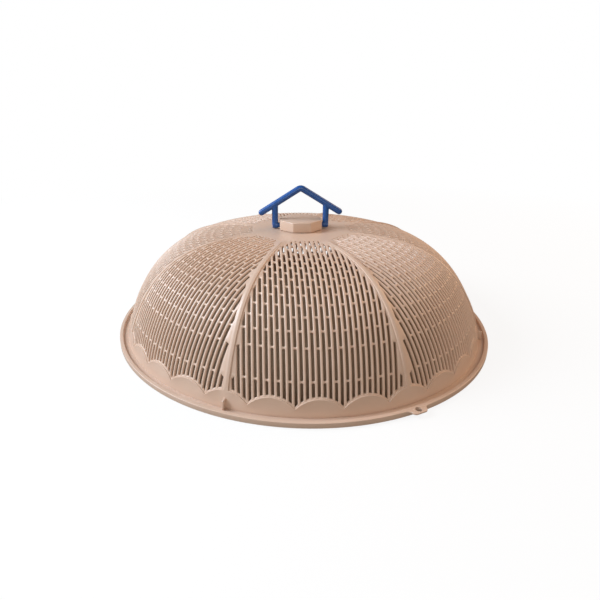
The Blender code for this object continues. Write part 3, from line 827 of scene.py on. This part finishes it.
def makeSeat():
    cap = newPiece("seat_cap", prism(octagon(seat["radiusMm"]), seatBaseMm, seatTopMm), domeFinish)
    roundEdges(cap, seat["edgeMm"])
    ceiling = seatTopMm - seat["wallMm"]
    hollow = prism(octagon(seat["radiusMm"] - seat["wallMm"]), seatBaseMm - pokeMm, ceiling)
    cutOrJoin(cap, newPiece("hollow", hollow, domeFinish), "DIFFERENCE")
    block = seat["pinClearMm"] + seat["socketWallMm"]
    inner = pinEndMm - seat["notchEndMm"] - seat["socketWallMm"]
    outer = facetReachMm - seat["wallMm"] / 2
    outline = [(inner, -block), (outer, -block), (outer, block), (inner, block)]
    for side in range(2):
        bm = prism(outline, seatBaseMm + seat["socketGapMm"], ceiling + seat["wallMm"] / 2)
        bm = turned(bm, math.pi * side)
        cutOrJoin(cap, newPiece("block", bm, domeFinish), "UNION")
    pillar = prism(circle(seat["pillarMm"], 30), seatBaseMm, ceiling + seat["wallMm"] / 2)
    cutOrJoin(cap, newPiece("pillar", pillar, domeFinish), "UNION")
    bore = prism(circle(seat["boreMm"], 24), seatBaseMm - pokeMm, ceiling - seat["boreRoofMm"])
    cutOrJoin(cap, newPiece("bore", bore, domeFinish), "DIFFERENCE")
    for side in range(2):
        cutOrJoin(cap, makePinNotch(side), "DIFFERENCE")
    smoothPiece(cap, 30)
    return cap


def makePinSaddle(side):
    top = pivotMm - seat["pinClearMm"]
    half, outer = seat["saddleHalfMm"], facetReachMm - seat["saddleEndMm"]
    outline = [(pinEndMm, -half), (outer, -half), (outer, half), (pinEndMm, half)]
    bm = turned(prism(outline, dome["heightMm"] - pokeMm, top), math.pi * side)
    saddle = newPiece("pin_saddle_" + ("right", "left")[side], bm, domeFinish)
    roundEdges(saddle, seat["saddleEdgeMm"])
    smoothPiece(saddle, 40)
    return saddle


seatCap = makeSeat()
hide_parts("handle_seat")
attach(seatCap, "cover")
for side in range(2):
    saddle = makePinSaddle(side)
    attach(saddle, "cover")
print("seat made")


# Handle: a gable of round rod on two posts, each with a foot and an inward pin

handle = {
    "rodMm": 2.78,
    "postAtMm": 22.6,
    "eaveAtMm": 34.5,
    "eaveRiseMm": 11.5,
    "peakRiseMm": 32.1,
    "peakRoundMm": 4.0,
    "pinMm": 2.2,
    "postThinnerMm": 0.04,   # so that a post's surface doesn't lie on the rod's
    "footShorterMm": 0.5,    # a foot's ends lie this far inside its post's sides
    "rodSides": 28,
    "voxelMm": 0.32,
    "softenTimes": 5,
    "softenShare": 0.5,
}

eaveMm = pivotMm + handle["eaveRiseMm"]
peakMm = pivotMm + handle["peakRiseMm"]


def addRod(bm, path, radius, roundEnds):
    # A round rod along (x, z) points, with hemispherical or flat ends
    places = [Vector((x, 0.0, z)) for x, z in path]
    aims = [(after - before).normalized()
            for before, after in zip(places[:1] + places, places[1:] + places[-1:])]
    rings = [(place, aim, radius) for place, aim in zip(places, aims)]
    if roundEnds:
        bends = [math.pi / 2 * step / 7 for step in range(1, 7)]
        first = [(places[0] - aims[0] * radius * math.sin(bend), aims[0], radius * math.cos(bend))
                 for bend in bends]
        last = [(places[-1] + aims[-1] * radius * math.sin(bend), aims[-1], radius * math.cos(bend))
                for bend in bends]
        rings = first[::-1] + rings + last
    sides = handle["rodSides"]
    across = Vector((0.0, 1.0, 0.0))
    loops = []
    for centre, aim, size in rings:
        up = aim.cross(across)
        turns = [fullTurn * step / sides for step in range(sides)]
        loops.append([bm.verts.new((centre + size * (across * math.cos(t) + up * math.sin(t))) * mm)
                      for t in turns])
    for upper, lower in zip(loops[:-1], loops[1:]):
        joinRings(bm, upper, lower)
    bm.faces.new(loops[0][::-1])
    bm.faces.new(loops[-1])


def gablePath():
    slope = math.atan2(peakMm - eaveMm, handle["eaveAtMm"])
    bow = handle["peakRoundMm"]
    trim = bow * math.tan(slope / 2)
    centre = peakMm - trim * math.sin(slope) - bow * math.cos(slope)
    path = [(-handle["eaveAtMm"], eaveMm)]
    for step in range(9):
        turn = slope * (step / 4 - 1)
        path.append((bow * math.sin(turn), centre + bow * math.cos(turn)))
    path.append((handle["eaveAtMm"], eaveMm))
    return path


def makeHandle():
    bm = bmesh.new()
    addRod(bm, gablePath(), handle["rodMm"], True)
    top = peakMm - (peakMm - eaveMm) * handle["postAtMm"] / handle["eaveAtMm"]
    for side in (-1, 1):
        post = side * handle["postAtMm"]
        addRod(bm, [(post, pivotMm), (post, top)], handle["rodMm"] - handle["postThinnerMm"], False)
        half = handle["rodMm"] - handle["footShorterMm"]
        addRod(bm, [(post - half, pivotMm), (post + half, pivotMm)], handle["rodMm"], False)
        addRod(bm, [(side * pinEndMm, pivotMm), (post, pivotMm)], handle["pinMm"], False)
    piece = newPiece("carry_handle", bm, handleFinish)
    remesh = piece.modifiers.new("moulded", "REMESH")
    remesh.mode = "VOXEL"
    remesh.voxel_size = handle["voxelMm"] * mm
    soften = piece.modifiers.new("soften", "SMOOTH")
    soften.iterations = handle["softenTimes"]
    soften.factor = handle["softenShare"]
    bakeModifiers(piece)
    piece.data.materials.clear()
    piece.data.materials.append(handleFinish)
    smoothPiece(piece, 70)
    return piece


carryHandle = makeHandle()
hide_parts("handle")
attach(carryHandle, "handle")
print("handle made")


# Screw: a pan head under the crown, with a cross recess

screw = {
    "headMm": 3.6,
    "headHeightMm": 2.2,
    "headRoundMm": 1.1,
    "shankMm": 1.5,
    "axisMm": 0.05,          # radius of a hair-thin bore, which keeps the section off the axis
    "weldMm": 0.02,
    "crossMm": 0.8,
    "crossShare": 0.55,
    "crossDeepMm": 1.1,
    "steps": 48,
}
screwLow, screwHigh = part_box("seat_screw")


def makeScrew():
    low, high = screwLow.z / mm, screwHigh.z / mm
    face = low + screw["headHeightMm"]
    head, rounding, shank, axis = (screw[key] for key in ("headMm", "headRoundMm", "shankMm", "axisMm"))
    section = [(axis, low)] + arcPoints(head - rounding, low + rounding, rounding, 270, 360, 5)
    section += [(head, face), (shank, face), (shank, high - shank), (axis, high)]
    bm = revolved(section, screw["steps"])
    bmesh.ops.remove_doubles(bm, verts=bm.verts, dist=screw["weldMm"] * mm)
    piece = newPiece("cover_screw", bm, screwFinish)
    reach, half = head * screw["crossShare"], screw["crossMm"] / 2
    outline = [(-reach, -half), (reach, -half), (reach, half), (-reach, half)]
    for number in range(2):
        arm = turned(prism(outline, low - pokeMm, low + screw["crossDeepMm"]), math.pi / 2 * number)
        cutOrJoin(piece, newPiece("arm", arm, screwFinish), "DIFFERENCE")
    smoothPiece(piece, 35)
    return piece


coverScrew = makeScrew()
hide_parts("seat_screw")
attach(coverScrew, "cover")
print("screw made")


# Studio: pale paper, a cool soft light from the left with a weak low one beside it, warm ones from
# the right and from the front, and the sky

studio = {
    "floorMm": 6000.0,
    "floorTopMm": -0.2,      # just under the cover, so that the two don't share a face
    "floorDeepMm": -10.0,
    "skyLight": 0.3,
    "skyColour": "#F4F1F0",
    "aimHeightMm": 45.0,
    "lights": {              # atM is a light's place in metres
        "key_light": {"power": 25.5, "colour": "#E4F0FF", "sizeMm": 700.0, "atM": (-1.15, 0.0, 0.85)},
        "low_light": {"power": 2.0, "colour": "#E4F0FF", "sizeMm": 500.0, "atM": (-1.24, -0.58, 0.34)},
        "fill_light": {"power": 9.0, "colour": "#FFD2A8", "sizeMm": 900.0, "atM": (1.12, 0.3, 0.7)},
        "front_light": {"power": 5.0, "colour": "#FFF2E6", "sizeMm": 900.0, "atM": (0.1, -1.35, 0.5)},
    },
}


def addSoftLight(name, power, colour, sizeMm, atM):
    light = bpy.data.lights.new(name, "AREA")
    light.energy = power
    light.color = linearColour(colour)[:3]
    light.size = sizeMm * mm
    lamp = bpy.data.objects.new(name, light)
    bpy.context.scene.collection.objects.link(lamp)
    lamp.location = atM
    aim = Vector((0, 0, studio["aimHeightMm"] * mm)) - Vector(atM)
    lamp.rotation_euler = aim.to_track_quat("-Z", "Y").to_euler()


def makeFloor():
    half = studio["floorMm"] / 2
    bm = prism([(-half, -half), (half, -half), (half, half), (-half, half)],
               studio["floorDeepMm"], studio["floorTopMm"])
    floor = newPiece("studio_floor", bm, palePaperSweep("pale_paper_sweep"))


def makeSky():
    world = bpy.data.worlds.new("soft_sky")
    bpy.context.scene.world = world
    world.use_nodes = True
    tree = world.node_tree
    tree.nodes.clear()
    lightSky = addNode(tree, "ShaderNodeBackground",
                       {"Color": linearColour(studio["skyColour"]), "Strength": studio["skyLight"]})
    whiteSky = addNode(tree, "ShaderNodeBackground", {"Color": linearColour("#FFFFFF"), "Strength": 1.0})
    mixed = addNode(tree, "ShaderNodeMixShader", {},
                    {0: seenDirectly(tree), 1: lightSky.outputs[0], 2: whiteSky.outputs[0]})
    addNode(tree, "ShaderNodeOutputWorld", {}, {"Surface": mixed.outputs[0]})


makeFloor()
makeSky()
for name, light in studio["lights"].items():
    addSoftLight(name, **light)
print("studio made")


# Camera: the photograph's angle, for an image of 600 by 600

camera = {
    "distanceM": 0.4171,
    "elevationDegrees": 25.38,
    "azimuthDegrees": -5.07,
    "panDegrees": -4.02,
    "tiltDegrees": -4.70,
    "rollDegrees": -1.19,
    "focalPixels": 426.7,
    "imagePixels": 600.0,
    "sensorMm": 36.0,
    "nearM": 0.01,
    "shiftRight": 0.0508,
    "shiftUp": -0.0386,
}


def makeCamera():
    data = bpy.data.cameras.new("camera")
    data.sensor_width = camera["sensorMm"]
    data.lens = camera["sensorMm"] * camera["focalPixels"] / camera["imagePixels"]
    data.shift_x = camera["shiftRight"]
    data.shift_y = camera["shiftUp"]
    data.clip_start = camera["nearM"]
    view = bpy.data.objects.new("camera", data)
    bpy.context.scene.collection.objects.link(view)
    lift, swing = math.radians(camera["elevationDegrees"]), math.radians(camera["azimuthDegrees"])
    back = Vector((math.sin(swing) * math.cos(lift), -math.cos(swing) * math.cos(lift), math.sin(lift)))
    right = Vector((math.cos(swing), math.sin(swing), 0))
    axes = Matrix((right, back.cross(right), back))
    for name, axis in (("panDegrees", "Y"), ("tiltDegrees", "X"), ("rollDegrees", "Z")):
        axes = Matrix.Rotation(math.radians(camera[name]), 3, axis) @ axes
    view.matrix_world = Matrix.Translation(back * camera["distanceM"]) @ axes.transposed().to_4x4()
    bpy.context.scene.camera = view


makeCamera()
bpy.context.scene.view_settings.view_transform = "Standard"
print("camera made")
